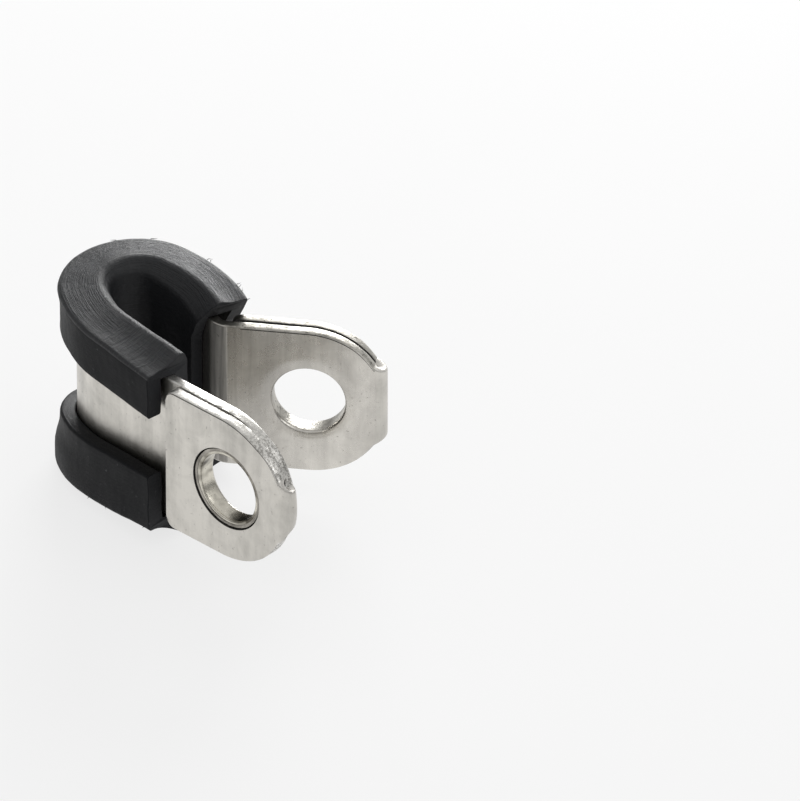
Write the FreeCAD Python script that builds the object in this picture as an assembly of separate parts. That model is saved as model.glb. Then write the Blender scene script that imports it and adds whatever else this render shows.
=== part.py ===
import FreeCAD, Part
import math
import os

# Rubber-lined P clip, as delivered: the loop is sprung open and no cable is in it.
# Millimetres. The origin is on the axis of the round back of the loop, halfway up the
# strip's width. +Z runs along that axis and +X from the back towards the ears. The near
# leg of the rubber is parallel to X on the -Y side, and the far leg is on the +Y side.

# Steel strip
sheet = 0.8
strip_width = 12.1

# Centre line of the strip round the loop
back_radius = 3.98
shoulder_radius = 10.3
base_offset = 4.73
base_angle = 2.3
base_length = 6.43
near_bend_radius = 3.0
near_bend_angle = 4.7
far_leg_start = 83.0
far_leg_radius = 34.0
far_leg_sweep = 8.2
far_leg_bare = 0.5
far_bend_radius = 0.65
far_bend_angle = 56.5

# Ears: two layers, the outer one folded back from the tip
near_hole_distance = 6.2
far_hole_distance = 6.3
near_flap_length = 6.0
far_flap_length = 5.5
near_inner_setback = 0.6
near_flap_setback = 0.3
far_inner_setback = 0.0
far_flap_setback = 0.0
ear_end_radius = 6.05
hole_to_tip = 5.75
fold_gap = 0.1
flap_inset = 0.1
flap_corner = 0.9

# Screw holes: the inner layer is drawn through the outer one as a collar
hole_radius = 2.7
collar_wall = 0.53
collar_seam = 0.05
hole_entry_round = 0.3

# Rubber channel: its walls, and its outer face round the loop
rubber_clearance = 0.03
flange_wall = 1.25
channel_depth = 3.75
rubber_shoulder_radius = 12.0
rubber_near_end = 9.14
rubber_far_start = 100.4
rubber_far_radius = 17.25
rubber_far_sweep = 26.0
rubber_shift = -0.2

# The far end's cut runs back below the upper rim, which reaches furthest
far_cut_setback = 2.3
far_cut_top = 7.7
far_cut_foot = 4.4

# Heights from the middle of the rubber to its outer and inner rims and to its flanges'
# free edges. The rubber is pulled up round the back and droops at its cut ends.
near_heights = {
    "outer": 6.9, "inner": 7.95, "upper_flange": 3.2, "lower_flange": -1.85, "slope": 0.5
}
leg_heights = {
    "outer": 7.3, "inner": 8.05, "upper_flange": 3.55, "lower_flange": -2.3, "slope": 0.52
}
shoulder_heights = {
    "outer": 7.55, "inner": 8.2, "upper_flange": 3.9, "lower_flange": -2.95, "slope": 0.6
}
back_heights = {
    "outer": 7.8, "inner": 8.3, "upper_flange": 4.25, "lower_flange": -3.9, "slope": 0.7
}
far_heights = {
    "outer": 7.6, "inner": 8.15, "upper_flange": 3.9, "lower_flange": -2.6, "slope": 1.4
}
slope_height = 1.0
inner_stock = 0.3
rim_outer_chamfer = 0.15

UP = FreeCAD.Vector(0, 0, 1)


def plan_vector(angle):
    """Unit vector in the XY plane at an angle in degrees."""
    turn = math.radians(angle)
    return FreeCAD.Vector(math.cos(turn), math.sin(turn), 0)


class Walk:
    """Line in the XY plane, made of straights and tangent arcs."""

    def __init__(self, point, heading):
        self.point = point
        self.heading = heading
        self.steps = []

    def straight(self, length):
        end = self.point + plan_vector(self.heading) * length
        self.steps.append(("straight", self.point, end, self.heading, None, 0))
        self.point = end
        return self

    def turn(self, radius, angle):
        """Arc to the left for a positive angle and to the right for a negative one."""
        side = 90 if angle > 0 else -90
        centre = self.point + plan_vector(self.heading + side) * radius
        end_heading = self.heading + angle
        end = centre - plan_vector(end_heading + side) * radius
        self.steps.append(("arc", self.point, end, self.heading, centre, angle))
        self.point = end
        self.heading = end_heading
        return self

    def edge(self, step, shift):
        """One step of the line, moved sideways: left for a positive shift."""
        kind, start, end, heading, centre, angle = step
        first = start + plan_vector(heading + 90) * shift
        last = end + plan_vector(heading + angle + 90) * shift
        if kind == "straight":
            return Part.LineSegment(first, last).toShape()
        side = 90 if angle > 0 else -90
        reach = (first - centre).Length
        middle = centre - plan_vector(heading + angle / 2 + side) * reach
        return Part.Arc(first, middle, last).toShape()

    def edges(self, shift=0.0):
        return [self.edge(step, shift) for step in self.steps]


def between(first_edges, second_edges, height):
    """Solid between two rows of edges in plan, standing from -height/2 to +height/2."""
    ends = []
    for index in (0, -1):
        first = first_edges[index].Vertexes[index].Point
        second = second_edges[index].Vertexes[index].Point
        ends.append(Part.LineSegment(first, second).toShape())
    outline = Part.Wire(Part.__sortEdges__(first_edges + second_edges + ends))
    face = Part.Face(outline)
    face.translate(UP * (-height / 2))
    return face.extrude(UP * height)


def leg_sweep(shoulder, back, offset):
    """Angle of the shoulder arc between a leg at an offset from the axis and the back."""
    return math.degrees(math.acos((shoulder - offset) / (shoulder - back)))


shoulder_sweep = leg_sweep(shoulder_radius, back_radius, base_offset)
back_start = base_angle - 90 - shoulder_sweep
back_sweep = 360 + back_start - far_leg_start


def near_root():
    """Steel's centre line from the round back along the near leg to its ear's root."""
    line = Walk(plan_vector(back_start) * back_radius, back_start + 90)
    line.turn(shoulder_radius, shoulder_sweep).straight(base_length)
    return line.turn(near_bend_radius, near_bend_angle)


def steel_line(root):
    """Steel's centre line from the near ear's root round to where the far leg bends out."""
    line = Walk(root.point, root.heading + 180)
    line.turn(near_bend_radius, -near_bend_angle).straight(base_length)
    line.turn(shoulder_radius, -shoulder_sweep)
    line.turn(back_radius, -back_sweep)
    line.turn(far_leg_radius, -far_leg_sweep)
    return line.straight(far_leg_bare)


def rubber_line(near_extra=0.0, far_extra=0.0):
    """Outer face of the rubber, from the near end round to the far end."""
    back = back_radius + sheet / 2 + rubber_clearance + flange_wall
    offset = base_offset + sheet / 2 + rubber_clearance + flange_wall
    sweep = leg_sweep(rubber_shoulder_radius, back, offset)
    back_angle = 360 - 90 - sweep - rubber_far_start
    shoulder_x = (rubber_shoulder_radius - back) * math.sin(math.radians(sweep))
    line = Walk(FreeCAD.Vector(rubber_near_end + near_extra, -offset, 0), 180)
    line.straight(rubber_near_end + near_extra - shoulder_x)
    line.turn(rubber_shoulder_radius, -sweep)
    line.turn(back, -back_angle / 2)
    line.turn(back, -back_angle / 2)
    line.turn(rubber_far_radius, -rubber_far_sweep)
    if far_extra > 0:
        line.straight(far_extra)
    return line


class Ear:
    """One ear. u runs from its root to the tip, v along Z, w out to the folded layer."""

    def __init__(self, root, heading, outward, hole_distance, flap_length, inner, flap):
        self.root = root
        self.u = plan_vector(heading)
        self.w = plan_vector(heading + outward)
        self.hole = hole_distance
        self.flap_edge = hole_distance - flap_length
        self.inner_centre = hole_distance - inner
        self.flap_centre = hole_distance - flap
        self.fold_radius = sheet + fold_gap / 2
        self.fold_start = hole_distance + hole_to_tip - self.fold_radius
        self.inner_face = -sheet / 2
        self.flap_start = sheet / 2 + fold_gap
        self.outer_face = self.flap_start + sheet

    def at(self, u, v, w):
        return self.root + self.u * u + UP * v + self.w * w

    def chord(self, centre, end_radius):
        """Half the width of a layer's round end where the fold starts."""
        return math.sqrt(end_radius ** 2 - (self.fold_start - centre) ** 2)

    def layer(self, start, centre, inset, corner, low, high):
        """Flat layer from start to the fold, its end rounded about centre."""
        half_width = strip_width / 2 - inset
        end_radius = ear_end_radius - inset
        chord = self.chord(centre, end_radius)
        middle_angle = (math.atan2(chord, self.fold_start - centre) + math.pi / 2) / 2
        middle_u = centre + end_radius * math.cos(middle_angle)
        middle_v = end_radius * math.sin(middle_angle)

        def line(first, second):
            return Part.LineSegment(self.at(*first, low), self.at(*second, low)).toShape()

        def arc(first, middle, second):
            spots = [self.at(*spot, low) for spot in (first, middle, second)]
            return Part.Arc(*spots).toShape()

        edges = [
            line((start + corner, -half_width), (centre, -half_width)),
            arc((centre, -half_width), (middle_u, -middle_v), (self.fold_start, -chord)),
            line((self.fold_start, -chord), (self.fold_start, chord)),
            arc((self.fold_start, chord), (middle_u, middle_v), (centre, half_width)),
            line((centre, half_width), (start + corner, half_width)),
            line((start, half_width - corner), (start, -half_width + corner)),
        ]
        if corner > 0:
            edges.insert(5, line((start + corner, half_width), (start, half_width - corner)))
            edges.append(line((start, -half_width + corner), (start + corner, -half_width)))
        return Part.Face(Part.Wire(edges)).extrude(self.w * (high - low))

    def bar(self, radius, low, high):
        """Cylinder about the hole's axis."""
        return Part.makeCylinder(radius, high - low, self.at(self.hole, 0, low), self.w)

    def nose(self, centre, inset, w):
        """Outline of the fold at one face: a chord where it starts and a round front."""
        chord = self.chord(centre, ear_end_radius - inset)
        spots = ((self.fold_start, -chord), (self.fold_start + self.fold_radius, 0))
        left, tip = [self.at(*spot, w) for spot in spots]
        right = self.at(self.fold_start, chord, w)
        front = Part.Arc(left, tip, right).toShape()
        return Part.Wire([front, Part.LineSegment(right, left).toShape()])

    def fold(self):
        """Half-round fold at the tip, as wide as the layers that it joins."""
        middle = (self.inner_face + self.outer_face) / 2
        foot = self.at(self.fold_start, -strip_width / 2, middle)
        hem = Part.makeCylinder(self.fold_radius, strip_width, foot, UP)
        hem = hem.cut(Part.makeCylinder(fold_gap / 2, strip_width, foot, UP))
        inner = self.nose(self.inner_centre, 0, self.inner_face)
        outer = self.nose(self.flap_centre, flap_inset, self.outer_face)
        return hem.common(Part.makeLoft([inner, outer], True, True))

    def mouth_cutter(self):
        """Ring that rounds the mouth of the hole on the ear's inner face."""
        r = hole_radius
        c = hole_entry_round
        face = self.inner_face
        bulge = c * (1 - math.cos(math.radians(45)))
        spots = [(r - c, -c), (r + c, -c), (r + c, 0), (r, c), (r - c, c)]
        low_in, low_out, rim, wall, high_in = [self.at(self.hole, a, face + b) for a, b in spots]
        middle = self.at(self.hole, r + bulge, face + bulge)
        edges = [
            Part.LineSegment(low_in, low_out).toShape(),
            Part.LineSegment(low_out, rim).toShape(),
            Part.Arc(rim, middle, wall).toShape(),
            Part.LineSegment(wall, high_in).toShape(),
            Part.LineSegment(high_in, low_in).toShape(),
        ]
        return Part.Face(Part.Wire(edges)).revolve(self.at(self.hole, 0, face), self.w, 360)

    def solid(self):
        inner_layer = self.layer(
            0, self.inner_centre, 0, 0, self.inner_face, self.inner_face + sheet
        )
        flap = self.layer(
            self.flap_edge,
            self.flap_centre,
            flap_inset,
            flap_corner,
            self.flap_start,
            self.outer_face,
        )
        collar_radius = hole_radius + collar_wall
        through = self.outer_face + sheet
        flap = flap.cut(self.bar(collar_radius + collar_seam, self.inner_face, through))
        collar = self.bar(collar_radius, 0, self.outer_face)
        body = inner_layer.fuse([flap, collar, self.fold()])
        body = body.cut(self.bar(hole_radius, self.inner_face - sheet, through))
        return body.cut(self.mouth_cutter())


def make_band():
    line = near_root()
    near = (near_hole_distance, near_flap_length, near_inner_setback, near_flap_setback)
    near_ear = Ear(line.point, line.heading, -90, *near)
    line = steel_line(line)
    line.turn(far_bend_radius, far_bend_angle)
    far = (far_hole_distance, far_flap_length, far_inner_setback, far_flap_setback)
    far_ear = Ear(line.point, line.heading, 90, *far)
    loop = between(line.edges(sheet / 2), line.edges(-sheet / 2), strip_width)
    band = loop.fuse([near_ear.solid(), far_ear.solid()])
    return band.removeSplitter(), near_ear, far_ear


def section(place, out, spots):
    """Closed wire across the rubber: spots are distances in from its face and heights."""
    points = [place - out * depth + UP * height for depth, height in spots]
    return Part.makePolygon(points + points[:1])


def rim_spots(heights):
    """Outline of the channel with its slot filled and its inner face left proud."""
    fall = slope_height * (1 + inner_stock / heights["slope"])
    half = [
        (0, heights["outer"] - rim_outer_chamfer),
        (rim_outer_chamfer, heights["outer"]),
        (channel_depth - heights["slope"], heights["inner"]),
        (channel_depth + inner_stock, heights["inner"] - fall),
    ]
    return half + [(depth, -height) for depth, height in reversed(half)]


def gap_spots(heights):
    """Outline of the bare strip between the two flanges."""
    outside = -flange_wall
    inside = flange_wall + rubber_clearance
    low = heights["lower_flange"]
    high = heights["upper_flange"]
    return [(outside, high), (inside, high), (inside, low), (outside, low)]


def rubber_sweep(line, spots_of):
    """Solid along the rubber's face, with a section at the start of each of its steps."""
    starts = [(step[1], step[3]) for step in line.steps[:4]]
    stations = starts + [(line.point, line.heading)]
    heights = [near_heights, leg_heights, shoulder_heights, back_heights, far_heights]
    sweep = Part.BRepOffsetAPI.MakePipeShell(Part.Wire(line.edges()))
    sweep.setBiNormalMode(UP)
    for (place, heading), row in zip(stations, heights):
        sweep.add(section(place, plan_vector(heading + 90), spots_of(row)))
    sweep.build()
    sweep.makeSolid()
    return sweep.shape()


def far_end_cutter():
    """Prism beyond the cut of the far end, seen from the side of the leg."""
    line = rubber_line()
    along = plan_vector(line.heading)
    across = plan_vector(line.heading - 90)
    back = -far_cut_setback
    spots = [(channel_depth, strip_width), (0, strip_width), (0, far_cut_top)]
    spots += [(back, far_cut_foot), (back, -strip_width), (channel_depth, -strip_width)]
    side = line.point - across * flange_wall
    points = [side + along * reach + UP * height for reach, height in spots]
    prism = Part.Face(Part.makePolygon(points + points[:1]))
    return prism.extrude(across * (channel_depth + 2 * flange_wall))


def make_liner():
    channel = rubber_sweep(rubber_line(), rim_spots)
    gap = rubber_sweep(rubber_line(sheet, sheet), gap_spots)
    channel = channel.cut(gap).cut(far_end_cutter())
    slot_height = strip_width + 2 * rubber_clearance
    line = rubber_line(sheet, sheet)
    stock = [line.edges(-channel_depth - depth) for depth in (0, 2 * inner_stock)]
    channel = channel.cut(between(*stock, 2 * strip_width))
    channel.translate(UP * rubber_shift)
    outside = rubber_line(sheet, 2 * sheet).edges(-flange_wall)
    inside = steel_line(near_root()).straight(2 * sheet).edges(-sheet / 2 - rubber_clearance)
    slot = between(outside, inside, slot_height)
    return channel.cut(slot)


os.makedirs("parts", exist_ok=True)
band, near_ear, far_ear = make_band()
liner = make_liner()
for name, shape in (("steel_band", band), ("rubber_liner", liner)):
    shape.exportStep("parts/" + name + ".step")
    box = shape.BoundBox
    print(name, shape.isValid(), len(shape.Solids), round(shape.Volume, 2), box)
for name, ear in (("near ear hole", near_ear), ("far ear hole", far_ear)):
    print(name, ear.at(ear.hole, 0, 0), ear.w)
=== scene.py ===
import math

import bmesh
import bpy
import numpy as np
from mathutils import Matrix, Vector, noise
from mathutils.geometry import tessellate_polygon


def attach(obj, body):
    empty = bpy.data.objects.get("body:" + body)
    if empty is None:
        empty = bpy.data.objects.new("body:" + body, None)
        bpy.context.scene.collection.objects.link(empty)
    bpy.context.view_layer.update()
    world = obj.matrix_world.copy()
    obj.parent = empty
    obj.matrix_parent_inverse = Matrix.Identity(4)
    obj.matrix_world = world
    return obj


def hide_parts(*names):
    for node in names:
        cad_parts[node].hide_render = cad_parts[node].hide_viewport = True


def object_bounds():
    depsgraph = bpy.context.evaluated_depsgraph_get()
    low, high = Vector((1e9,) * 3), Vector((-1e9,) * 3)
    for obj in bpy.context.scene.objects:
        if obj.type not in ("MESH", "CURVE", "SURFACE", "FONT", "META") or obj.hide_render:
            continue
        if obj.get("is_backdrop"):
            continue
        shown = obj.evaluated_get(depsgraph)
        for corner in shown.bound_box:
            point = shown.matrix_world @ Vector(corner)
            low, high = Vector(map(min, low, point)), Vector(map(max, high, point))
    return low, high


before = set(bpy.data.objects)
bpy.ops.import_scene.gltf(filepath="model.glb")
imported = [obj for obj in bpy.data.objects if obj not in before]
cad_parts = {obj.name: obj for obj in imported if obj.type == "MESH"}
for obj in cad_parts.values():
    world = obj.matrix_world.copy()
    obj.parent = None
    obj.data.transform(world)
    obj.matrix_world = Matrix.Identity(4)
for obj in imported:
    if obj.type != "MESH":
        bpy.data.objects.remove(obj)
low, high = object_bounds()

# Lengths are in millimetres until they are multiplied by MM.
MM = 0.001
SHEET = 0.8  # thickness of the steel strip
LEAF = SHEET / 2
HALF = 6.05  # half the strip's width
BACK = 3.98  # radius of the strip's middle round the back of the loop
NEAR_LEG = 4.73  # distance from the axis to the strip's middle in the near leg
NEAR_HEADING = 2.3  # direction of the strip in the near leg, in degrees
STRIP_SHOULDER = 10.3  # radius between the near leg and the back
STRIP_BACK_END = 83.0  # where the round back ends, in degrees about the axis
STRIP_FAR_LEG = (34.0, -8.2)  # radius and turn, in degrees
NEAR_STRAIGHT = 6.43  # length of the straight near leg
NEAR_BEND = (3.0, 4.2)
FAR_STRAIGHT = 0.15
FAR_BEND = (1.3, 56.5)
FLANGE = 1.25  # thickness of the rubber outside the strip
DEPTH = 3.75  # from the rubber's outer face to its inner wall
GAP = 0.03  # play between the strip and the rubber
SHIFT = -0.2  # middle of the rubber's height against the strip's
NEAR_END = 9.14  # x of the rubber's cut near end
RUBBER_SHOULDER = 12.0  # the rubber's shoulder, back and far leg, as for the strip
RUBBER_BACK_END = 100.4
RUBBER_FAR_LEG = (17.25, -26.0)

# Plan lines of the rubber and the strip


class Line:
    """A line in plan made of straights and arcs, where a positive angle turns left."""

    def __init__(self, x, y, heading):
        self.parts = []
        self.length = 0.0
        self.end = (x, y, heading)

    def add(self, length, curve=0.0):
        x, y, heading = self.end
        self.parts.append((self.length, length, x, y, heading, curve))
        self.length += length
        self.end = self.at(self.length)

    def arc(self, radius, angle):
        self.add(abs(math.radians(angle)) * radius, math.copysign(1 / radius, angle))

    def at(self, s):
        """Point and heading at the distance s along the line."""
        for start, length, x, y, heading, curve in reversed(self.parts):
            if s >= start or start == 0.0:
                break
        s = s - start
        h = math.radians(heading)
        if curve == 0.0:
            return x + s * math.cos(h), y + s * math.sin(h), heading
        turn = s * curve
        r = 1 / curve
        x += r * (math.sin(h + turn) - math.sin(h))
        y -= r * (math.cos(h + turn) - math.cos(h))
        return x, y, heading + math.degrees(turn)


def sweep_angle(shoulder, back, offset):
    """Turn of the shoulder that joins a straight leg at an offset to the round back."""
    return math.degrees(math.acos((shoulder - offset) / (shoulder - back)))


def rubber_line():
    """Outer face of the rubber in plan, from its near end round to its far end."""
    back = BACK + SHEET / 2 + GAP + FLANGE
    offset = NEAR_LEG + SHEET / 2 + GAP + FLANGE
    sweep = sweep_angle(RUBBER_SHOULDER, back, offset)
    shoulder_x = (RUBBER_SHOULDER - back) * math.sin(math.radians(sweep))
    line = Line(NEAR_END, -offset, 180.0)
    line.add(NEAR_END - shoulder_x)
    line.arc(RUBBER_SHOULDER, -sweep)
    line.arc(back, -(270 - sweep - RUBBER_BACK_END))
    line.arc(*RUBBER_FAR_LEG)
    return line


def back_start():
    """Where the strip's near shoulder meets its round back: x, y, angle and shoulder's turn."""
    sweep = sweep_angle(STRIP_SHOULDER, BACK, NEAR_LEG)
    start = NEAR_HEADING - 90 - sweep
    return BACK * math.cos(math.radians(start)), BACK * math.sin(math.radians(start)), start, sweep


def steel_inner_points():
    """Spots along the strip's inner face in plan, from the near leg round to the far bend."""
    leg = 8.5
    beyond = 2.5
    x, y, start, sweep = back_start()
    root = Line(x, y, start + 90)
    root.arc(STRIP_SHOULDER, sweep)
    root.add(leg)
    x, y, heading = root.end
    line = Line(x, y, heading + 180)
    line.add(leg)
    line.arc(STRIP_SHOULDER, -sweep)
    line.arc(BACK, -(360 + start - STRIP_BACK_END))
    line.arc(*STRIP_FAR_LEG)
    line.add(beyond)
    spots = []
    for s in np.linspace(0, line.length, 260):
        x, y, heading = line.at(s)
        h = math.radians(heading - 90)
        spots.append((x + (SHEET / 2 + GAP) * math.cos(h), y + (SHEET / 2 + GAP) * math.sin(h)))
    return np.array(spots)


def smooth(t):
    """Smooth step from 0 to 1."""
    t = min(max(t, 0.0), 1.0)
    return t * t * (3 - 2 * t)


def table(s, rows):
    """Value at s of a smooth curve through (s, value) rows."""
    slopes = [(b[1] - a[1]) / (b[0] - a[0]) for a, b in zip(rows, rows[1:])]
    slopes = [slopes[0]] + [(a + b) / 2 for a, b in zip(slopes, slopes[1:])] + [slopes[-1]]
    s = min(max(s, rows[0][0]), rows[-1][0])
    k = max(i for i in range(len(rows) - 1) if rows[i][0] <= s)
    (a, va), (b, vb) = rows[k], rows[k + 1]
    t = (s - a) / (b - a)
    rise = t * t * (3 - 2 * t)
    start = t * (1 - t) ** 2 * (b - a) * slopes[k]
    finish = t * t * (t - 1) * (b - a) * slopes[k + 1]
    return va + (vb - va) * rise + start + finish


PLAN = rubber_line()
LENGTH = PLAN.length
SHOULDER = PLAN.parts[1][0]
ROUND = PLAN.parts[2][0]
FAR_LEG = PLAN.parts[3][0]
BACK_MID = (ROUND + FAR_LEG) / 2

# Heights of the rubber's section along its length, each as (s, height) rows: the outer and
# inner edges of its upper rim, its lower rim, the fall of the rim's inner rounding, how far
# the rim's slope reaches in, the free edges of both flanges, and how hollow the rims are.
OUTER = [(0, 6.9), (SHOULDER, 7.3), (ROUND, 7.6), (BACK_MID, 7.95), (27, 8.1), (31, 8.0), (LENGTH, 7.6)]
INNER = [(0, 7.95), (SHOULDER, 8.05), (ROUND, 8.2), (BACK_MID, 8.35), (27, 8.4), (LENGTH, 8.15)]
FOOT = [(0, -6.6), (SHOULDER, -7.3), (ROUND, -7.65), (BACK_MID, -7.85), (27, -7.95), (LENGTH, -7.6)]
DROP = [(0, 1.1), (FAR_LEG, 1.1), (LENGTH, 2.1)]
SLOPE = [(0, 0.5), (SHOULDER, 0.52), (ROUND, 0.6), (BACK_MID, 0.7), (LENGTH, 1.4)]
UPPER = [(0, 3.2), (SHOULDER, 3.55), (ROUND, 3.9), (BACK_MID, 4.25), (LENGTH, 3.9)]
LOWER = [(0, -1.85), (SHOULDER, -2.3), (ROUND, -2.95), (BACK_MID, -3.9), (LENGTH, -2.6)]
HOLLOW = [(0, 1.0), (5, 0.5), (ROUND, 0.1), (BACK_MID, 0.0), (LENGTH - 6, 0.0), (LENGTH, 0.9)]


def rounded(corners, steps):
    """Closed outline with rounded corners, and the material of the face after each spot.

    Corners are (depth, height, radius, parts of the run that follows, material).
    """
    arcs = []
    for i, (d, h, r, *_) in enumerate(corners):
        a = np.array(corners[i - 1][:2]) - (d, h)
        b = np.array(corners[(i + 1) % len(corners)][:2]) - (d, h)
        la = np.hypot(*a)
        lb = np.hypot(*b)
        a = a / la
        b = b / lb
        half = math.acos(max(-1.0, min(1.0, float(a @ b)))) / 2
        cut = min(r / math.tan(half), 0.45 * la, 0.45 * lb)
        r = cut * math.tan(half)
        first = np.array((d, h)) + a * cut
        last = np.array((d, h)) + b * cut
        middle = np.array((d, h)) + (a + b) / np.hypot(*(a + b)) * (r / math.sin(half))
        arc = []
        for k in range(steps + 1):
            t = k / steps
            spot = first * (1 - t) + last * t - middle
            arc.append(middle + spot / np.hypot(*spot) * r)
        arcs.append(arc)
    spots = []
    materials = []
    for arc, after, corner in zip(arcs, arcs[1:] + arcs[:1], corners):
        parts, material = corner[3:]
        spots += arc
        spots += [arc[-1] + (after[0] - arc[-1]) * k / parts for k in range(1, parts)]
        materials += [material] * (steps + parts)
    return np.array(spots), materials


# Materials of the rubber: rims and inner wall, cut ends, outer flanges darkened with painted shade, and
# the inside of the slot painted near-black as shade
RIM, CUT, MATT_SHADED, SHADOWED_SLOT = range(4)
RIM_FOOT = 6.3
HOLLOW_DEPTH = 0.32
HOLLOW_WIDTH = 2.9
SLOT_GAPE = 0.25  # how far the slot's upper outer corner opens at the far end


def outline(s, slot_in):
    """Section of the channel at s: (depth in, height) spots and the materials between them."""
    outer = table(s, OUTER)
    inner = table(s, INNER)
    slope = table(s, SLOPE)
    upper = table(s, UPPER)
    lower = table(s, LOWER)
    foot = table(s, FOOT)
    drop = table(s, DROP)
    top = HALF + GAP - SHIFT
    bottom = -HALF - GAP - SHIFT
    gape = SLOT_GAPE * smooth((s - LENGTH + 2.5) / 1.8)
    # Outer faces take the darker rubber of the outer flanges, and the slot's walls the near-black slot
    # rubber: both painted shade.
    spots, materials = rounded([
        (0, upper, 0.22, 7, MATT_SHADED),
        (0, outer, 0.4, 14, RIM),
        (DEPTH - slope, inner, 0.55, 3, RIM),
        (DEPTH, inner - drop, 0.9, 16, RIM),
        (DEPTH, -inner + 1.1, 0.9, 3, RIM),
        (DEPTH - slope, -inner, 0.55, 14, RIM),
        (0, foot, 0.4, 8, MATT_SHADED),
        (0, lower, 0.22, 3, MATT_SHADED),
        (FLANGE, lower, 0.18, 6, SHADOWED_SLOT),
        (FLANGE, bottom, 0.1, 2, SHADOWED_SLOT),
        (slot_in, bottom, 0.1, 14, SHADOWED_SLOT),
        (slot_in, top, 0.1, 2, SHADOWED_SLOT),
        (FLANGE - gape, top + gape, 0.1, 5, SHADOWED_SLOT),
        (FLANGE, upper, 0.18, 3, MATT_SHADED),
    ], 4)
    # The rims are hollowed towards their outer half near both cut ends.
    d = spots[:, 0]
    h = spots[:, 1]
    rim = np.clip((np.abs(h) - RIM_FOOT) / 0.5, 0, 1) * table(s, HOLLOW)
    sag = HOLLOW_DEPTH * np.sin(np.pi * np.clip(d / HOLLOW_WIDTH, 0, 1))
    spots[:, 1] -= np.sign(h) * rim * sag
    return spots, materials


def place(s, d, h):
    """Point in millimetres at s along the rubber's face, d inwards and h up."""
    x, y, heading = PLAN.at(s)
    n = math.radians(heading - 90)
    return x + d * math.cos(n), y + d * math.sin(n), h + SHIFT


def slot_depths(stations):
    """Depth of the slot's inner wall at each station, which follows the strip."""
    deepest = 4.5
    inside = steel_inner_points()
    out = []
    for s in stations:
        x, y, heading = PLAN.at(s)
        h = math.radians(heading)
        along = (inside[:, 0] - x) * math.cos(h) + (inside[:, 1] - y) * math.sin(h)
        depth = (inside[:, 0] - x) * math.sin(h) - (inside[:, 1] - y) * math.cos(h)
        near = np.where((depth > 0) & (depth < deepest))[0]
        best = near[np.argsort(np.abs(along[near]))[:2]]
        a, b = along[best[0]], along[best[1]]
        t = 0.5 if a == b else float(np.clip(-a / (b - a), -1, 2))
        out.append(depth[best[0]] + (depth[best[1]] - depth[best[0]]) * t)
    return out


def near_end(d, h):
    """How far the near end's cut stands back from square, in millimetres."""
    return 0.12 * math.sin(1.7 * d + 0.4) + 0.05 * math.sin(2.3 * h)


FAR_CUT_HEIGHTS = (4.0, 4.8, 5.35, 6.0, 7.2, 7.45)
FAR_CUT_SETBACKS = (2.3, 1.75, 1.46, 1.05, 0.3, 0.0)


def far_end(h):
    """How far the far end's slanted cut stands back at a height: most below the rim."""
    return float(np.interp(h + SHIFT, FAR_CUT_HEIGHTS, FAR_CUT_SETBACKS))


def lean(s, h):
    """How far the outer face swells outwards round the back: its flanges lean in at first."""
    near_back = smooth(1.4 - abs(s - BACK_MID + 2) / 8)
    top = 0.12 * smooth((h - 6.6) / 1.2) - 0.1 * smooth((h - 3.5) / 1.0) * smooth((7.2 - h) / 1.0)
    foot = 0.38 * smooth((-h - 3.8) / 2.4)
    return (top + foot) * near_back


# Threads of flash: start, drift along the rim, reach outwards, rise, and 1 for the upper rim
FLASH = [
    (BACK_MID + 1.5, -0.3, 0.1, 0.04, 1),
    (BACK_MID + 4.2, 0.35, 0.12, 0.05, 1),
    (28.3, 0.3, 0.22, 0.12, 1),
    (28.7, -0.15, 0.14, 0.10, 1),
    (31.9, 0.3, 0.24, 0.14, 1),
    (32.2, 0.2, 0.16, 0.18, 1),
    (32.7, -0.25, 0.2, 0.03, 1),
    (LENGTH - 0.1, 0.12, 0.12, 0.08, 1),
    (0.6, 0.3, 0.1, -0.12, -1),
    (5.2, -0.3, 0.12, -0.1, -1),
    (7.0, 0.2, 0.1, -0.12, -1),
    (BACK_MID - 2.5, 0.4, 0.2, -0.02, -1),
]
THREAD_PARTS = 5
THREAD_SIDES = 4
THREAD_RADIUS = 0.035


def add_flash(mesh):
    """Fine threads that stand off the outer edges of both rims, as moulding leaves them."""
    for s, drift, out, rise, end in FLASH:
        h = table(s, OUTER) - 0.08 if end > 0 else table(s, FOOT) + 0.12
        reach = 0.08 - lean(s, h)
        rings = []
        for k in range(THREAD_PARTS + 1):
            t = k / THREAD_PARTS
            curl = 0.08 * math.sin(4 * t + s)
            spot = Vector(place(s + drift * t + curl, reach - out * t, h + rise * t * (1.6 - 0.6 * t)))
            radius = THREAD_RADIUS * (1 - 0.8 * k / THREAD_PARTS)
            ring = []
            for a in range(THREAD_SIDES):
                turn = 2 * math.pi * a / THREAD_SIDES
                corner = Vector((radius * math.cos(turn), 0.5 * radius, radius * math.sin(turn)))
                ring.append(mesh.verts.new((spot + corner) * MM))
            rings.append(ring)
        for a, b in zip(rings, rings[1:]):
            for k in range(THREAD_SIDES):
                n = (k + 1) % THREAD_SIDES
                mesh.faces.new((a[k], a[n], b[n], b[k])).smooth = True
        mesh.faces.new(rings[0])
        mesh.faces.new(rings[-1])


def make_object(name, mesh):
    """Object at the origin with the mesh, its faces turned outwards."""
    bmesh.ops.recalc_face_normals(mesh, faces=mesh.faces)
    data = bpy.data.meshes.new(name)
    mesh.to_mesh(data)
    mesh.free()
    piece = bpy.data.objects.new(name, data)
    bpy.context.scene.collection.objects.link(piece)
    return piece


WAVE = 0.045  # long waves of the rubber's faces
RIPPLE = 0.015  # short ones


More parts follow.
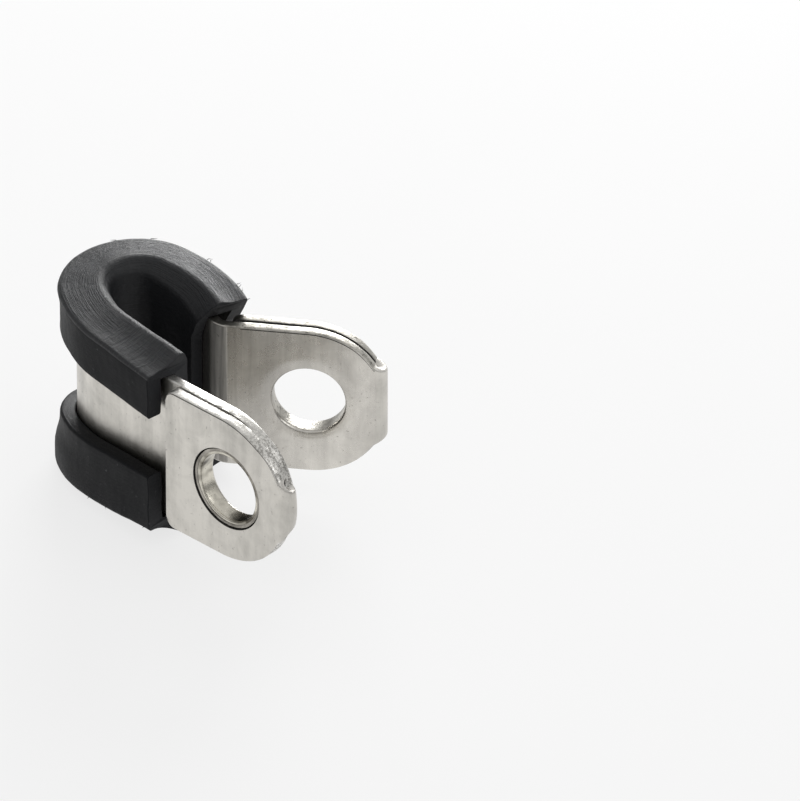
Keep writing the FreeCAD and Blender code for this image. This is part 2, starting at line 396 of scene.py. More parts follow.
def make_liner():
    """The rubber channel, swept along its plan line, with wavy faces and threads of flash."""
    near_part = 3.0
    far_part = 5.0
    near_fine = 6.3
    far_fine = LENGTH - 7.5
    stations = list(np.linspace(0, near_fine, 40))
    stations += list(np.linspace(near_fine, far_fine, 120))[1:]
    stations += list(np.linspace(far_fine, LENGTH, 46))[1:]
    depths = slot_depths(stations)
    slot_top = HALF + GAP - SHIFT + 0.05
    mesh = bmesh.new()
    uv = mesh.loops.layers.uv.new("along")
    rings = []
    coords = []
    for s, slot_in in zip(stations, depths):
        section, materials = outline(s, max(slot_in, FLANGE + 0.4))
        ring = []
        row = []
        run = 0.0
        for k, (d, h) in enumerate(section):
            if k:
                run += float(np.hypot(*(section[k] - section[k - 1])))
            t = s
            if s < near_part:
                t += near_end(d, h) * (1 - s / near_part)
            if s > LENGTH - far_part:
                t -= far_end(h) * smooth((s - LENGTH + far_part) / far_part)
            wave = WAVE * noise.noise(Vector((t * 0.45, h * 0.25, d * 0.5 + 3)))
            fine = RIPPLE * noise.noise(Vector((t * 1.7, h * 1.1, d * 1.3 + 9)))
            outside = 1.0 if d < 0.3 or d > DEPTH - 0.4 else 0.2
            bulge = lean(s, h) * smooth(1 - d / 2)
            if abs(d - slot_in) < 0.12 and abs(h) < slot_top:
                bulge += slot_in - float(np.interp(t, stations, depths))
            x, y, z = place(t, d + (wave + fine) * outside - bulge, h + 0.5 * wave)
            ring.append(mesh.verts.new((x * MM, y * MM, z * MM)))
            row.append((t, run))
        rings.append(ring)
        coords.append(row)
    # The materials round the section are the same at every station.
    count = len(rings[0])
    for i in range(len(rings) - 1):
        for k in range(count):
            n = (k + 1) % count
            face = mesh.faces.new((rings[i][k], rings[i][n], rings[i + 1][n], rings[i + 1][k]))
            face.smooth = True
            face.material_index = materials[k]
            spots = (coords[i][k], coords[i][n], coords[i + 1][n], coords[i + 1][k])
            for loop, (a, b) in zip(face.loops, spots):
                if n == 0 and b == 0.0:
                    b = coords[i][k][1] + 0.3
                loop[uv].uv = (a, b)
    for ring, s, slot_in in ((rings[0], stations[0], depths[0]), (rings[-1], stations[-1], depths[-1])):
        section = outline(s, max(slot_in, FLANGE + 0.4))[0]
        for a, b, c in tessellate_polygon([[Vector((d, h, 0)) for d, h in section]]):
            face = mesh.faces.new((ring[a], ring[b], ring[c]))
            face.material_index = CUT
    add_flash(mesh)
    return make_object("liner_channel", mesh)


# Steel band

# Each ear: the side its fold turns to, the distances from the bend to the hole and from the
# hole to the tip, how far the fold leans up, the round ends of its inner layer and its flap
# as (centre beyond the hole, reach, half width), the flap's length from the hole, how far the
# layers spread in degrees, the gap between them, and how much the fold is waisted.
NEAR_EAR = {
    "side": -1, "hole": 6.2, "tip": 6.02, "lift": 0.35, "inner": (-0.7, 6.1, HALF),
    "flap": (-0.5, 6.3, 5.95), "flap_length": 6.0, "spread": 0.3, "gap": 0.1, "waist": 0.36,
}
FAR_EAR = {
    "side": 1, "hole": 5.95, "tip": 5.75, "lift": 0.0, "inner": (0.0, 5.9, HALF),
    "flap": (0.0, 5.85, 5.95), "flap_length": 5.9, "spread": 0.5, "gap": 0.2, "waist": 0.6,
}
FLAP_CORNER = 0.8
DOUBLED = ("inner", "flap", "fold")


def round_end(u, centre, reach, half):
    """Half the width at u of a layer whose end is part of an ellipse about centre."""
    t = max(u - centre, 0.0) / reach
    return half * math.sqrt(max(1 - t * t, 0.0))


def ear_path(line, side, hole, tip, lift, inner, flap, flap_length, spread, gap, waist):
    """Adds an ear to a line. Returns rows of (s, half, kind, roll of its outer edges, lift)."""
    fold = LEAF + gap / 2
    reach = hole + tip - fold - LEAF
    root = line.length
    line.add(reach)
    rows = []
    for u in np.linspace(0, reach, 80):
        kind = "inner" if u > 0.9 else "root"
        roll = 0.1 + 0.15 * smooth(1 - (reach - u) / 1.5)
        half = round_end(u, hole + inner[0], *inner[1:])
        rows.append((root + u, half, kind, roll, lift * smooth(1 - (reach - u) / 2.5)))
    before = rows[-1][1]
    after = round_end(reach, hole + flap[0], *flap[1:])
    slope = (rows[-2][1] - before) / (rows[-1][0] - rows[-2][0])
    start = line.length
    line.arc(fold, side * (180 - spread))
    length = line.length - start
    dip = waist * slope * length / math.pi
    for t in np.linspace(0.03, 0.98, 32):
        half = before + (after - before) * smooth(t) - dip * math.sin(math.pi * t)
        rows.append((start + t * length, half, "fold", 0.25, lift))
    start = line.length
    line.add(reach - (hole - flap_length))
    for t in np.linspace(0.0, 1, 70):
        at = start + (line.length - start) * t
        left = line.length - at
        half = round_end(reach - (at - start), hole + flap[0], *flap[1:])
        if left < FLAP_CORNER:
            half -= FLAP_CORNER - math.sqrt(max(FLAP_CORNER ** 2 - (FLAP_CORNER - left) ** 2, 0.0))
        roll = 0.06 + 0.19 * smooth(1 - (at - start) / 1.2)
        rows.append((at, half, "flap", roll, lift * smooth(1 - (at - start) / 2.5)))
    return rows


def half_paths():
    """Two lines from the start of the round back, along the near leg and round to the far ear,
    each with its rows of (s, half width, kind, roll, lift)."""
    bend = 1.4
    x, y, start, sweep = back_start()
    near = Line(x, y, start + 90)
    near.arc(STRIP_SHOULDER, sweep)
    near.add(NEAR_STRAIGHT)
    near.arc(*NEAR_BEND)
    near_rows = [(s, HALF, "loop", 0.1, 0.0) for s in np.linspace(0, near.length, 40)][:-1]
    near_rows += ear_path(near, **NEAR_EAR)
    far = Line(x, y, start - 90)
    far.arc(BACK, -(360 + start - STRIP_BACK_END))
    far.arc(*STRIP_FAR_LEG)
    far.add(FAR_STRAIGHT)
    far.arc(*FAR_BEND)
    bend_start = far.length - bend
    far_rows = [(s, HALF, "loop", 0.1, 0.0) for s in np.linspace(0, bend_start, 90)]
    far_rows += [(s, HALF, "bend", 0.1, 0.0) for s in np.linspace(bend_start, far.length, 18)][1:-1]
    far_rows += ear_path(far, **FAR_EAR)
    return near, near_rows, far, far_rows


def strip_section(roll, back_roll, grow):
    """Rounded outline of the strip as (across, level, fall, edge): up is level * (half - fall)."""
    levels = [-1, -0.985, -0.97, -0.75, -0.5, -0.25, 0, 0.25, 0.5, 0.75, 0.97, 0.985, 1]
    back = -LEAF - grow
    spots = [(LEAF, k, roll, 0) for k in levels]
    turns = [(math.cos(math.radians(a)), math.sin(math.radians(a))) for a in (30, 60)]
    top = [(LEAF - roll * (1 - c), 1, roll * (1 - q), 1) for c, q in turns]
    for t in np.linspace(0, 1, 4):
        top.append((LEAF - roll + t * (roll + back_roll - LEAF + back), 1, 0.0, 1))
    top += [(back + back_roll * (1 - c), 1, back_roll * (1 - q), 1) for c, q in turns[::-1]]
    spots += top
    spots += [(back, k, back_roll, 2) for k in levels[::-1]]
    spots += [(across, -1, fall, edge) for across, level, fall, edge in top[::-1]]
    return spots


def strip_surface(kind, edge, across, level, flip, back_line):
    """Name of the surface at a spot of the strip; flip is the far half, seen from inside."""
    if edge == 0:
        # A thin strip of painted shadow runs along the top of the outer face, under the sheared edge: on
        # the flap of the near ear and on the inner layer of the far one.
        if level > 0.98 and kind == ("inner" if flip else "flap"):
            return "line"
        if flip and kind in ("bend", "root", "inner"):
            return "bend" if kind == "bend" else "inside"
        return "face"
    # Where the folded layers face each other, their faces are painted dark: painted shade in the gap
    # between them.
    if edge == 2:
        if kind not in DOUBLED:
            return "face"
        return "seam" if flip or abs(level) < 0.98 else "edge"
    if kind == "fold":
        return "fold"
    # On the far half, the edge round turned towards the other layer is painted dark as well: painted
    # shade.
    if flip:
        return "cream" if across > back_line else "seam"
    return "edge"


def sweep_strip(line, rows, flip, seam_roll, grow, bow):
    """Rings of (x, y, z, surface) along one half of the strip; flip swaps its two faces.

    In the ear, seam_roll rounds the edges that face the other layer, grow thickens the layers
    towards each other, and bow draws the ends of the fold's tip back.
    """
    rings = []
    folded = [row[0] for row in rows if row[2] == "fold"]
    ear = math.radians(line.at(folded[0])[2])
    for s, half, kind, roll, lift in rows:
        x, y, heading = line.at(s)
        n = math.radians(heading + 90)
        ragged = 0.025 * noise.noise(Vector((s * 2.1, 4.0, 7.0 if flip else 1.0)))
        ragged += 0.02 * noise.noise(Vector((s * 7.3, 2.0, 3.0)))
        doubled = kind in DOUBLED
        section = strip_section(roll, seam_roll if doubled else 0.16, grow if doubled else 0.0)
        back_line = seam_roll - LEAF - 0.01 if doubled else -1
        part = (s - folded[0]) / (folded[-1] - folded[0])
        draw = bow * math.sin(math.pi * part) if kind == "fold" else 0.0
        ring = []
        for across, level, fall, edge in section:
            side = -across if flip else across
            up = level * (half - fall) + lift * (0.65 + 0.35 * level)
            if edge == 1 and fall == 0.0:
                up += math.copysign(ragged, up)
            back = draw * level * level
            px = x + side * math.cos(n) - back * math.cos(ear)
            py = y + side * math.sin(n) - back * math.sin(ear)
            ring.append((px, py, up, strip_surface(kind, edge, across, level, flip, back_line)))
        rings.append(ring)
    return rings


TURNS = 160


def lathe(mesh, profile, centre, axis, material):
    """Ring of closed profile (radius, along, wobble) turned about an axis, in millimetres."""
    axis = Vector(axis).normalized()
    side = Vector((0, 0, 1))
    other = axis.cross(side)
    rings = []
    for k in range(TURNS):
        a = 2 * math.pi * k / TURNS
        out = side * math.cos(a) + other * math.sin(a)
        ring = []
        for r, w, wobble in profile:
            rough = noise.noise(Vector((3 * math.cos(a), 3 * math.sin(a), 5.0)))
            rough += 0.6 * noise.noise(Vector((9 * math.cos(a), 9 * math.sin(a), 2.0 + r)))
            ring.append(mesh.verts.new((Vector(centre) + out * (r + wobble * rough) + axis * w) * MM))
        rings.append(ring)
    count = len(profile)
    for k in range(TURNS):
        for i in range(count):
            j = (i + 1) % count
            n = (k + 1) % TURNS
            face = mesh.faces.new((rings[k][i], rings[k][j], rings[n][j], rings[n][i]))
            face.smooth = True
            face.material_index = material[i] if material else 0


STEEL = ("face", "edge", "wall", "rim", "seam", "cream", "fold", "inside", "stain", "bend")
SURFACE = {name: index for index, name in enumerate(STEEL)}
# The thin strip along the top of a folded layer's face takes the near-black of the gap between layers:
# painted shadow.
SURFACE["line"] = SURFACE["seam"]
# Centre of each hole on the middle of the inner layer, and its axis outwards
NEAR_HOLE = ((15.9975, -3.5728, 0.0), (0.1276, -0.9918, 0.0))
FAR_HOLE = ((11.0708, 7.1802, 0.0), (-0.66, 0.7513, 0.0))
HOLE_RADIUS = 2.7
FUNNEL_RADIUS = 3.9  # edge of the rounded mouth on the inner face
COLLAR_CUT = 3.05  # the inner layer's hole round the collar
SEAM_CUT = 3.3  # the folded layer's hole round the collar


def add_stain(mesh):
    """Small brown wedge-shaped stain on the near ear's outer face, above its hole."""
    centre, axis = NEAR_HOLE
    along = Vector((-axis[1], axis[0], 0))
    face = Vector(centre) + Vector(axis) * 1.318
    shape = ((-1.72, 4.3), (-1.62, 4.34), (-1.3, 4.28), (-1.44, 4.0), (-1.5, 3.78), (-1.56, 4.02))
    stain = mesh.faces.new([mesh.verts.new((face + along * u + Vector((0, 0, v))) * MM) for u, v in shape])
    stain.material_index = SURFACE["stain"]


def make_strip():
    """The bare strip from ear to ear, without its holes."""
    near, near_rows, far, far_rows = half_paths()
    rings = sweep_strip(near, near_rows, False, seam_roll=0.02, grow=0.045, bow=0.2)[::-1]
    rings = rings[:-1] + sweep_strip(far, far_rows, True, seam_roll=0.09, grow=0.0, bow=0.0)
    mesh = bmesh.new()
    rows = [[mesh.verts.new((x * MM, y * MM, z * MM)) for x, y, z, surface in ring] for ring in rings]
    count = len(rows[0])
    for a, b, spots in zip(rows, rows[1:], rings):
        for k in range(count):
            n = (k + 1) % count
            face = mesh.faces.new((a[k], a[n], b[n], b[k]))
            face.smooth = True
            kinds = {spots[k][3], spots[n][3]}
            if len(kinds) == 1:
                face.material_index = SURFACE[kinds.pop()]
            elif kinds == {"seam", "cream"}:
                face.material_index = SURFACE["seam"]
            elif "inside" in kinds:
                face.material_index = SURFACE["inside"]
    for ring in (rows[0], rows[-1]):
        mesh.faces.new(ring).material_index = SURFACE["edge"]
    strip = make_object("band_strip", mesh)
    for kind in STEEL:
        strip.data.materials.append(None)
    return strip


def cut_hole(strip, name, centre, axis):
    """Cuts both layers round the collar: wide in the inner face, narrow where they meet."""
    mesh = bmesh.new()
    axis_radius = 0.0001
    mouth = -0.1
    step = LEAF + 0.05
    profile = [(axis_radius, -1.6), (FUNNEL_RADIUS, -1.6), (FUNNEL_RADIUS, mouth), (COLLAR_CUT, mouth)]
    profile += [(COLLAR_CUT, step), (SEAM_CUT, step), (SEAM_CUT, 3.0), (axis_radius, 3.0)]
    lathe(mesh, [(r, w, 0.0) for r, w in profile], centre, axis, None)
    bmesh.ops.remove_doubles(mesh, verts=mesh.verts, dist=1e-6)
    cutter = make_object(name, mesh)
    for kind in STEEL:
        cutter.data.materials.append(None)
    # The faces this cut leaves, in the narrow gap round each collar, are painted dark: painted shade.
    for polygon in cutter.data.polygons:
        polygon.material_index = SURFACE["seam"]
    tool = strip.modifiers.new("hole", "BOOLEAN")
    tool.operation = "DIFFERENCE"
    tool.solver = "EXACT"
    tool.object = cutter
    depsgraph = bpy.context.evaluated_depsgraph_get()
    data = bpy.data.meshes.new_from_object(strip.evaluated_get(depsgraph))
    strip.modifiers.clear()
    strip.data = data
    bpy.data.objects.remove(cutter)


def add_collar(mesh, centre, axis, around, inside):
    """Funnel on the inner face, wall of the hole, and the collar's flattened rim outside."""
    profile = [(3.91, -0.12, 0), (3.91, -0.4, 0), (3.75, -0.398, 0), (3.6, -0.39, 0), (3.4, -0.37, 0)]
    profile += [(3.2, -0.335, 0), (3.08, -0.3, 0)]
    for a in np.linspace(25, 90, 6):
        t = math.radians(a)
        profile.append((3.0 - 0.3 * math.sin(t), -0.3 * math.cos(t), 0))
    wall = len(profile)
    profile += [(HOLE_RADIUS, 0.3, 0), (HOLE_RADIUS, 0.7, 0), (HOLE_RADIUS, 1.05, 0)]
    for a in np.linspace(25, 90, 4):
        t = math.radians(a)
        profile.append((2.86 - 0.16 * math.cos(t), 1.05 + 0.2 * math.sin(t), 0.006))
    rim = len(profile)
    profile += [(2.94, 1.225, 0.01), (3.03, 1.2, 0.015), (3.11, 1.235, 0.02), (3.17, 1.25, 0.03)]
    profile += [(3.2, 1.22, 0.03), (3.2, 0.46, 0), (3.06, 0.44, 0), (3.06, -0.08, 0), (3.5, -0.12, 0)]
    names = [around] * (wall - 2) + [inside] * (rim - wall + 2) + ["rim"] * (len(profile) - rim)
    lathe(mesh, profile, centre, axis, [SURFACE[name] for name in names])


def make_band():
    """The folded strip with its two holes, their collars and a stain."""
    strip = make_strip()
    cut_hole(strip, "near_cutter", *NEAR_HOLE)
    cut_hole(strip, "far_cutter", *FAR_HOLE)
    mesh = bmesh.new()
    mesh.from_mesh(strip.data)
    add_collar(mesh, *NEAR_HOLE, "face", "wall")
    add_collar(mesh, *FAR_HOLE, "inside", "cream")
    add_stain(mesh)
    bpy.data.objects.remove(strip)
    band = make_object("band_folded", mesh)
    band.data.set_sharp_from_angle(angle=math.radians(35))
    return band


# Materials


class Nodes:
    """Shorthand for building a material's node tree."""

    def __init__(self, name):
        self.material = bpy.data.materials.new(name)
        self.material.use_nodes = True
        self.tree = self.material.node_tree
        self.tree.nodes.clear()
        self.shader = self.new("ShaderNodeBsdfPrincipled")
        out = self.new("ShaderNodeOutputMaterial")
        self.join(self.shader.outputs[0], out.inputs[0])

    def new(self, kind, **values):
        node = self.tree.nodes.new(kind)
        for key, value in values.items():
            setattr(node, key, value)
        return node

    def join(self, a, b):
        self.tree.links.new(a, b)

    def put(self, socket, value):
        if hasattr(value, "is_linked"):
            self.join(value, socket)
        else:
            socket.default_value = value

    def coordinates(self, kind="Object"):
        return self.new("ShaderNodeTexCoord").outputs[kind]

    def scaled(self, vector, scale, move=(0, 0, 0)):
        node = self.new("ShaderNodeMapping")
        self.join(vector, node.inputs["Vector"])
        node.inputs["Scale"].default_value = scale
        node.inputs["Location"].default_value = move
        return node.outputs[0]

    def component(self, vector, axis):
        node = self.new("ShaderNodeSeparateXYZ")
        self.join(vector, node.inputs[0])
        return node.outputs[axis]

    def noise(self, vector, scale, detail=3.0, rough=0.55, distortion=0.0):
        node = self.new("ShaderNodeTexNoise")
        self.join(vector, node.inputs["Vector"])
        node.inputs["Scale"].default_value = scale
        node.inputs["Detail"].default_value = detail
        node.inputs["Roughness"].default_value = rough
        node.inputs["Distortion"].default_value = distortion
        return node.outputs["Fac"]

    def ramp(self, value, *stops):
        node = self.new("ShaderNodeValToRGB")
        self.join(value, node.inputs[0])
        ramp = node.color_ramp
        while len(ramp.elements) < len(stops):
            ramp.elements.new(0.5)
        for element, (position, colour) in zip(ramp.elements, stops):
            element.position = position
            if not hasattr(colour, "__len__"):
                colour = (colour, colour, colour)
            element.color = (*colour[:3], 1)
        return node.outputs[0]

    def mix(self, factor, a, b):
        node = self.new("ShaderNodeMix", data_type="RGBA")
        self.put(node.inputs[0], factor)
        for socket, value in ((node.inputs[6], a), (node.inputs[7], b)):
            if hasattr(value, "is_linked"):
                self.join(value, socket)
            else:
                socket.default_value = (*value[:3], 1)
        return node.outputs[2]

    def math(self, operation, a, b=0.0, clamp=False):
        node = self.new("ShaderNodeMath", operation=operation, use_clamp=clamp)
        self.put(node.inputs[0], a)
        self.put(node.inputs[1], b)
        return node.outputs[0]

    def bump(self, height, strength, distance):
        node = self.new("ShaderNodeBump")
        self.join(height, node.inputs["Height"])
        node.inputs["Strength"].default_value = strength
        node.inputs["Distance"].default_value = distance
        return node.outputs[0]

    def set(self, name, value):
        self.put(self.shader.inputs[name], value)


# Kinds of rubber, in the order of the rim, cut end, outer flanges and slot materials: dark tone, light
# tone, specular level, least roughness and strength of the relief. The outer flanges' kind is darkened
# with painted shade, and the slot's kind is painted near-black as shade.
RUBBER = {
    "rubber": ((0.006, 0.0062, 0.0072), (0.019, 0.0205, 0.0235), 0.46, 0.36, 0.6),
    "cut": ((0.006, 0.0062, 0.0072), (0.019, 0.0205, 0.0235), 0.3, 0.55, 0.6),
    # Outer flanges: a darker, less shiny copy of the rim rubber; its lower tone is painted shade.
    "shaded_flange": ((0.003, 0.0032, 0.004), (0.009, 0.0095, 0.011), 0.1, 0.36, 0.25),
    # Inside of the slot: near-black with almost no shine, painted shade deep in the channel.
    "slot": ((0.0005, 0.0005, 0.0006), (0.001, 0.001, 0.001), 0.02, 0.36, 0.25),
}
RUBBER_DUST = (0.16, 0.165, 0.17)
RUBBER_RELIEF = 0.00015


def rubber_material(kind):
    """Black rubber with fine lines along its run, dust, and ripples near its near end."""
    dark, light, specular, low, relief = RUBBER[kind]
    n = Nodes("liner_" + kind)
    place = n.coordinates()
    along = n.coordinates("UV")
    lines = n.noise(n.scaled(along, (0.12, 4.0, 1)), 1.6, 5.0, 0.65)
    fine_lines = n.noise(n.scaled(along, (0.35, 16.0, 1)), 1.4, 3.0, 0.6)
    grain = n.noise(place, 2600.0, 3.0, 0.6)
    patches = n.noise(place, 260.0, 3.0, 0.55)
    dust = n.noise(n.scaled(place, (1, 1, 1), (0.3, 0.1, 0)), 1500.0, 4.0, 0.7)
    dust = n.ramp(dust, (0.66, 0.0), (0.74, 1.0))
    colour = n.mix(lines, dark, light)
    colour = n.mix(n.math("MULTIPLY", dust, 0.35), colour, RUBBER_DUST)
    n.set("Base Color", colour)
    n.set("Roughness", n.math("ADD", n.math("MULTIPLY", patches, 0.25), low))
    n.set("Specular IOR Level", specular)
    heights = n.math("ADD", n.math("MULTIPLY", lines, 0.6), n.math("MULTIPLY", fine_lines, 0.5))
    heights = n.math("ADD", heights, n.math("MULTIPLY", grain, 0.4))
    if kind in ("rubber", "cut"):
        start = n.math("DIVIDE", n.component(along, "X"), 10.0)
        start = n.ramp(start, (0.05, 0.0), (0.15, 1.0), (0.45, 0.8), (0.7, 0.0))
        ripples = n.noise(n.scaled(along, (2.6, 0.5, 1)), 1.3, 2.0, 0.5, 0.5)
        ripples = n.math("MULTIPLY", ripples, start)
        heights = n.math("ADD", heights, n.math("MULTIPLY", ripples, 1.7))
    n.set("Normal", n.bump(heights, relief, RUBBER_RELIEF))
    return n.material


# Kinds of steel surface: light tone, dark tone and least roughness
STEEL_LOOK = {
    "face": ((0.70, 0.675, 0.625), (0.47, 0.455, 0.42), 0.27),
    "edge": ((0.80, 0.785, 0.75), (0.46, 0.45, 0.42), 0.3),
    "wall": ((0.66, 0.63, 0.55), (0.10, 0.09, 0.072), 0.2),
    "rim": ((0.48, 0.455, 0.41), (0.10, 0.09, 0.075), 0.3),
    # Painted shade: near-black, non-metallic steel where the folded layers meet, in the thin shadow strips
    # and round the collars.
    "seam": ((0.03, 0.028, 0.025), (0.015, 0.014, 0.013), 0.8),
    "cream": ((0.60, 0.58, 0.53), (0.22, 0.21, 0.185), 0.3),
    "fold": ((0.74, 0.72, 0.68), (0.46, 0.445, 0.42), 0.5),
    "inside": ((0.70, 0.675, 0.625), (0.50, 0.48, 0.445), 0.2),
    "stain": ((0.30, 0.21, 0.11), (0.16, 0.12, 0.07), 0.3),
    "bend": ((0.72, 0.70, 0.66), (0.40, 0.385, 0.36), 0.5),
}
PIT_TONE = (0.20, 0.185, 0.165)
TORN_TONE = (0.10, 0.093, 0.08)
PEPPER_TONE = (0.16, 0.15, 0.135)
PAINTED_REFLECTION_TONE = (0.16, 0.152, 0.14)
STEEL_RELIEF = 0.00005


def steel_tone(n, kind, place):
    """How light the steel is at a place: drawn streaks and clouds, or the kind's own streaks."""
    if kind == "bend":
        streaks = n.noise(n.scaled(place, (1, 1, 0.03)), 1900.0, 3.0, 0.6)
        return n.ramp(streaks, (0.38, 0.0), (0.60, 1.0))
    if kind == "wall":
        streaks = n.noise(n.scaled(place, (1, 1, 1.6)), 300.0, 3.0, 0.6)
        return n.ramp(streaks, (0.42, 0.0), (0.595, 1.0))
    streaks = n.noise(n.scaled(place, (1, 1, 0.12)), 700.0, 4.0, 0.65)
    clouds = n.noise(place, 330.0, 5.0, 0.68, 0.4)
    mixed = n.math("ADD", n.math("MULTIPLY", streaks, 0.45), n.math("MULTIPLY", clouds, 0.55))
    return n.ramp(mixed, (0.36, 0.0), (0.60, 1.0))


def steel_material(kind):
    """Satin steel with pits; sheared edges are torn, and the far ear's inner face carries a painted dark
    reflection.
    """
    light, dark, low = STEEL_LOOK[kind]
    n = Nodes("steel_" + kind)
    place = n.coordinates()
    grain = n.noise(n.scaled(place, (1, 1, 0.06)), 5200.0, 3.0, 0.6)
    patches = n.noise(place, 900.0, 4.0, 0.65)
    pits = n.ramp(n.noise(place, 3600.0, 2.0, 0.5), (0.68, 0.0), (0.73, 1.0))
    colour = n.mix(steel_tone(n, kind, place), dark, light)
    colour = n.mix(n.math("MULTIPLY", pits, 0.45), colour, PIT_TONE)
    if kind in ("edge", "cream"):
        torn = n.ramp(n.noise(place, 4200.0, 2.0, 0.6), (0.56, 0.0), (0.64, 1.0))
        torn = n.math("MULTIPLY", torn, n.ramp(n.noise(place, 420.0, 2.0, 0.5), (0.48, 0.0), (0.56, 1.0)))
        colour = n.mix(n.math("MULTIPLY", torn, 0.75), colour, TORN_TONE)
    if kind == "edge":
        tip = n.ramp(n.math("MULTIPLY", n.component(place, "X"), 30.0), (0.52, 0.0), (0.575, 1.0))
        pepper = n.ramp(n.noise(place, 5200.0, 2.0, 0.6), (0.49, 0.0), (0.55, 1.0))
        colour = n.mix(n.math("MULTIPLY", n.math("MULTIPLY", tip, pepper), 0.6), colour, PEPPER_TONE)
    # Painted dark reflection on the far ear's inner face: darker towards its root and towards its top,
    # broken into streaks up its height.
    if kind == "inside":
        across = n.math("MULTIPLY", n.math("SUBTRACT", n.component(place, "X"), 0.0065), 75.0)
        down = n.math("MULTIPLY", n.math("SUBTRACT", 0.0055, n.component(place, "Z")), 40.0)
        painted_reflection = n.ramp(n.math("ADD", across, down, clamp=True), (0.0, 1.0), (0.75, 0.0))
        fine = n.noise(n.scaled(place, (1, 1, 0.04)), 2600.0, 3.0, 0.65)
        painted_reflection = n.math("MULTIPLY", painted_reflection, n.ramp(fine, (0.3, 0.75), (0.65, 1.0)))
        colour = n.mix(n.math("MULTIPLY", painted_reflection, 0.7), colour, PAINTED_REFLECTION_TONE)
    n.set("Base Color", colour)
    n.set("Metallic", 0.0 if kind in ("seam", "stain") else 1.0)
    n.set("Roughness", n.math("ADD", n.math("MULTIPLY", patches, 0.16), low))
    heights = n.math("ADD", n.math("MULTIPLY", grain, 0.6), n.math("MULTIPLY", pits, -0.5))
    if kind in ("edge", "rim", "cream", "fold"):
        speck = n.noise(place, 3300.0, 3.0, 0.6)
        heights = n.math("ADD", heights, n.math("MULTIPLY", speck, 1.2))
    heights = n.math("ADD", heights, n.math("MULTIPLY", patches, 0.8))
    n.set("Normal", n.bump(heights, 0.4, STEEL_RELIEF))
    return n.material


def floor_material():
    """White paper, lit partly from within so that it stays even."""
    n = Nodes("floor_paper")
    tone = n.mix(n.noise(n.coordinates(), 40.0, 2.0, 0.5), (0.155, 0.155, 0.155), (0.165, 0.165, 0.165))
    n.set("Base Color", tone)
    n.set("Roughness", 0.9)
    n.set("Specular IOR Level", 0.1)
    n.set("Emission Color", (1, 1, 1, 1))
    n.set("Emission Strength", 0.76)
    return n.material


# Pieces

liner = make_liner()
for kind in RUBBER:
    liner.data.materials.append(rubber_material(kind))
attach(liner, "root")
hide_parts("rubber_liner")

band = make_band()
for kind in STEEL:
    band.data.materials.append(steel_material(kind))
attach(band, "root")
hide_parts("steel_band")

# Stage, light and camera

FLOOR_Z = low.z - 0.00002
REACH = 1.2
corners = [(x * REACH, y * REACH, FLOOR_Z) for x, y in ((-1, -1), (1, -1), (1, 1), (-1, 1))]
floor_data = bpy.data.meshes.new("studio_floor")
floor_data.from_pydata(corners, [], [(0, 1, 2, 3)])
floor = bpy.data.objects.new("studio_floor", floor_data)
bpy.context.scene.collection.objects.link(floor)
floor.data.materials.append(floor_material())
floor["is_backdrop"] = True


def area_light(name, at, toward, size, power):
    """Oblong light at a place in millimetres; its size is in metres and its power in watts."""
    data = bpy.data.lights.new(name, "AREA")
    data.shape = "RECTANGLE"
    data.size, data.size_y = size
    data.energy = power
    light = bpy.data.objects.new(name, data)
    light.location = Vector(at) * MM
    light.rotation_euler = (Vector(toward) - Vector(at)).to_track_quat("-Z", "Y").to_euler()
    bpy.context.scene.collection.objects.link(light)


area_light("back_light", (-122, 186, 100), (0, 0, 0), (0.15, 0.12), 0.36)
area_light("low_light", (-130, 172, 40), (0, 0, 6), (0.14, 0.05), 0.19)
area_light("side_light", (150, 60, 120), (6, 1, 0), (0.10, 0.10), 0.05)

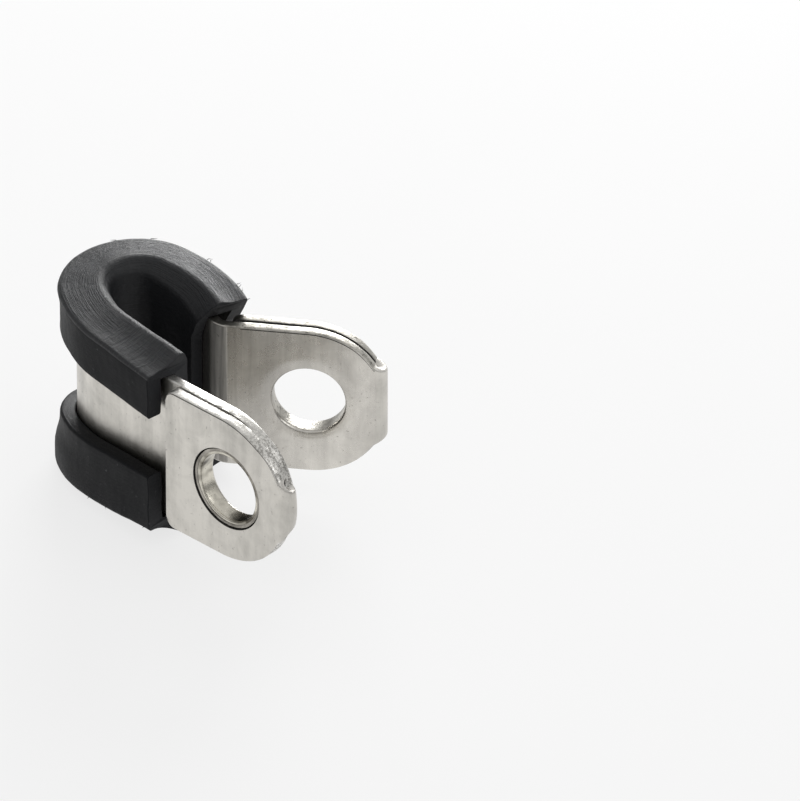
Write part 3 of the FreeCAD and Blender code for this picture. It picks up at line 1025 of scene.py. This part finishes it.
# The surroundings are dark at the horizon and white from a height of SKY_WHITE upwards.
SKY_DARK = 0.17
SKY_WHITE = 0.75
SKY_STRENGTH = 0.72
world = bpy.data.worlds.new("studio_world")
bpy.context.scene.world = world
world.use_nodes = True
tree = world.node_tree
background = tree.nodes["Background"]
height = tree.nodes.new("ShaderNodeSeparateXYZ")
tone = tree.nodes.new("ShaderNodeValToRGB")
tree.links.new(tree.nodes.new("ShaderNodeTexCoord").outputs["Generated"], height.inputs[0])
tree.links.new(height.outputs["Z"], tone.inputs[0])
tree.links.new(tone.outputs[0], background.inputs[0])
tone.color_ramp.elements[0].position = 0.0
tone.color_ramp.elements[0].color = (SKY_DARK, SKY_DARK, SKY_DARK, 1)
tone.color_ramp.elements[1].position = SKY_WHITE
tone.color_ramp.elements[1].color = (1, 1, 1, 1)
background.inputs[1].default_value = SKY_STRENGTH

scene = bpy.context.scene
scene.view_settings.view_transform = "Standard"
scene.view_settings.look = "None"
scene.view_settings.exposure = 0.0
scene.view_settings.gamma = 1.0

TURN = math.radians(49.8)
RISE = math.radians(34.0)
SCALE = 13.69  # pixels per millimetre
PIXELS = 800  # width of the picture
MIDDLE = (400, 400.5)  # middle of the picture, in pixels from its top left corner
AXIS_AT = (135.9, 369.5)  # where the axis of the round back stands in it
AIM_NEARER = 3.9  # how far the aim stands in front of that axis
DISTANCE = 1500.0
SENSOR = 36.0
right = Vector((math.cos(TURN), math.sin(TURN), 0))
ahead = Vector((-math.sin(TURN), math.cos(TURN), 0))
forward = ahead * math.cos(RISE) - Vector((0, 0, 1)) * math.sin(RISE)
up = ahead * math.sin(RISE) + Vector((0, 0, 1)) * math.cos(RISE)
aim = right * ((MIDDLE[0] - AXIS_AT[0]) / SCALE) - up * ((MIDDLE[1] - AXIS_AT[1]) / SCALE)
aim -= forward * AIM_NEARER
camera_data = bpy.data.cameras.new("camera")
camera_data.sensor_fit = "HORIZONTAL"
camera_data.sensor_width = SENSOR
camera_data.lens = SCALE * DISTANCE * SENSOR / PIXELS
camera_data.clip_start = 0.05
camera_data.clip_end = 20.0
camera = bpy.data.objects.new("camera", camera_data)
camera.location = (aim - forward * DISTANCE) * MM
camera.rotation_euler = forward.to_track_quat("-Z", "Y").to_euler()
bpy.context.scene.collection.objects.link(camera)
scene.camera = camera

low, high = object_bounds()
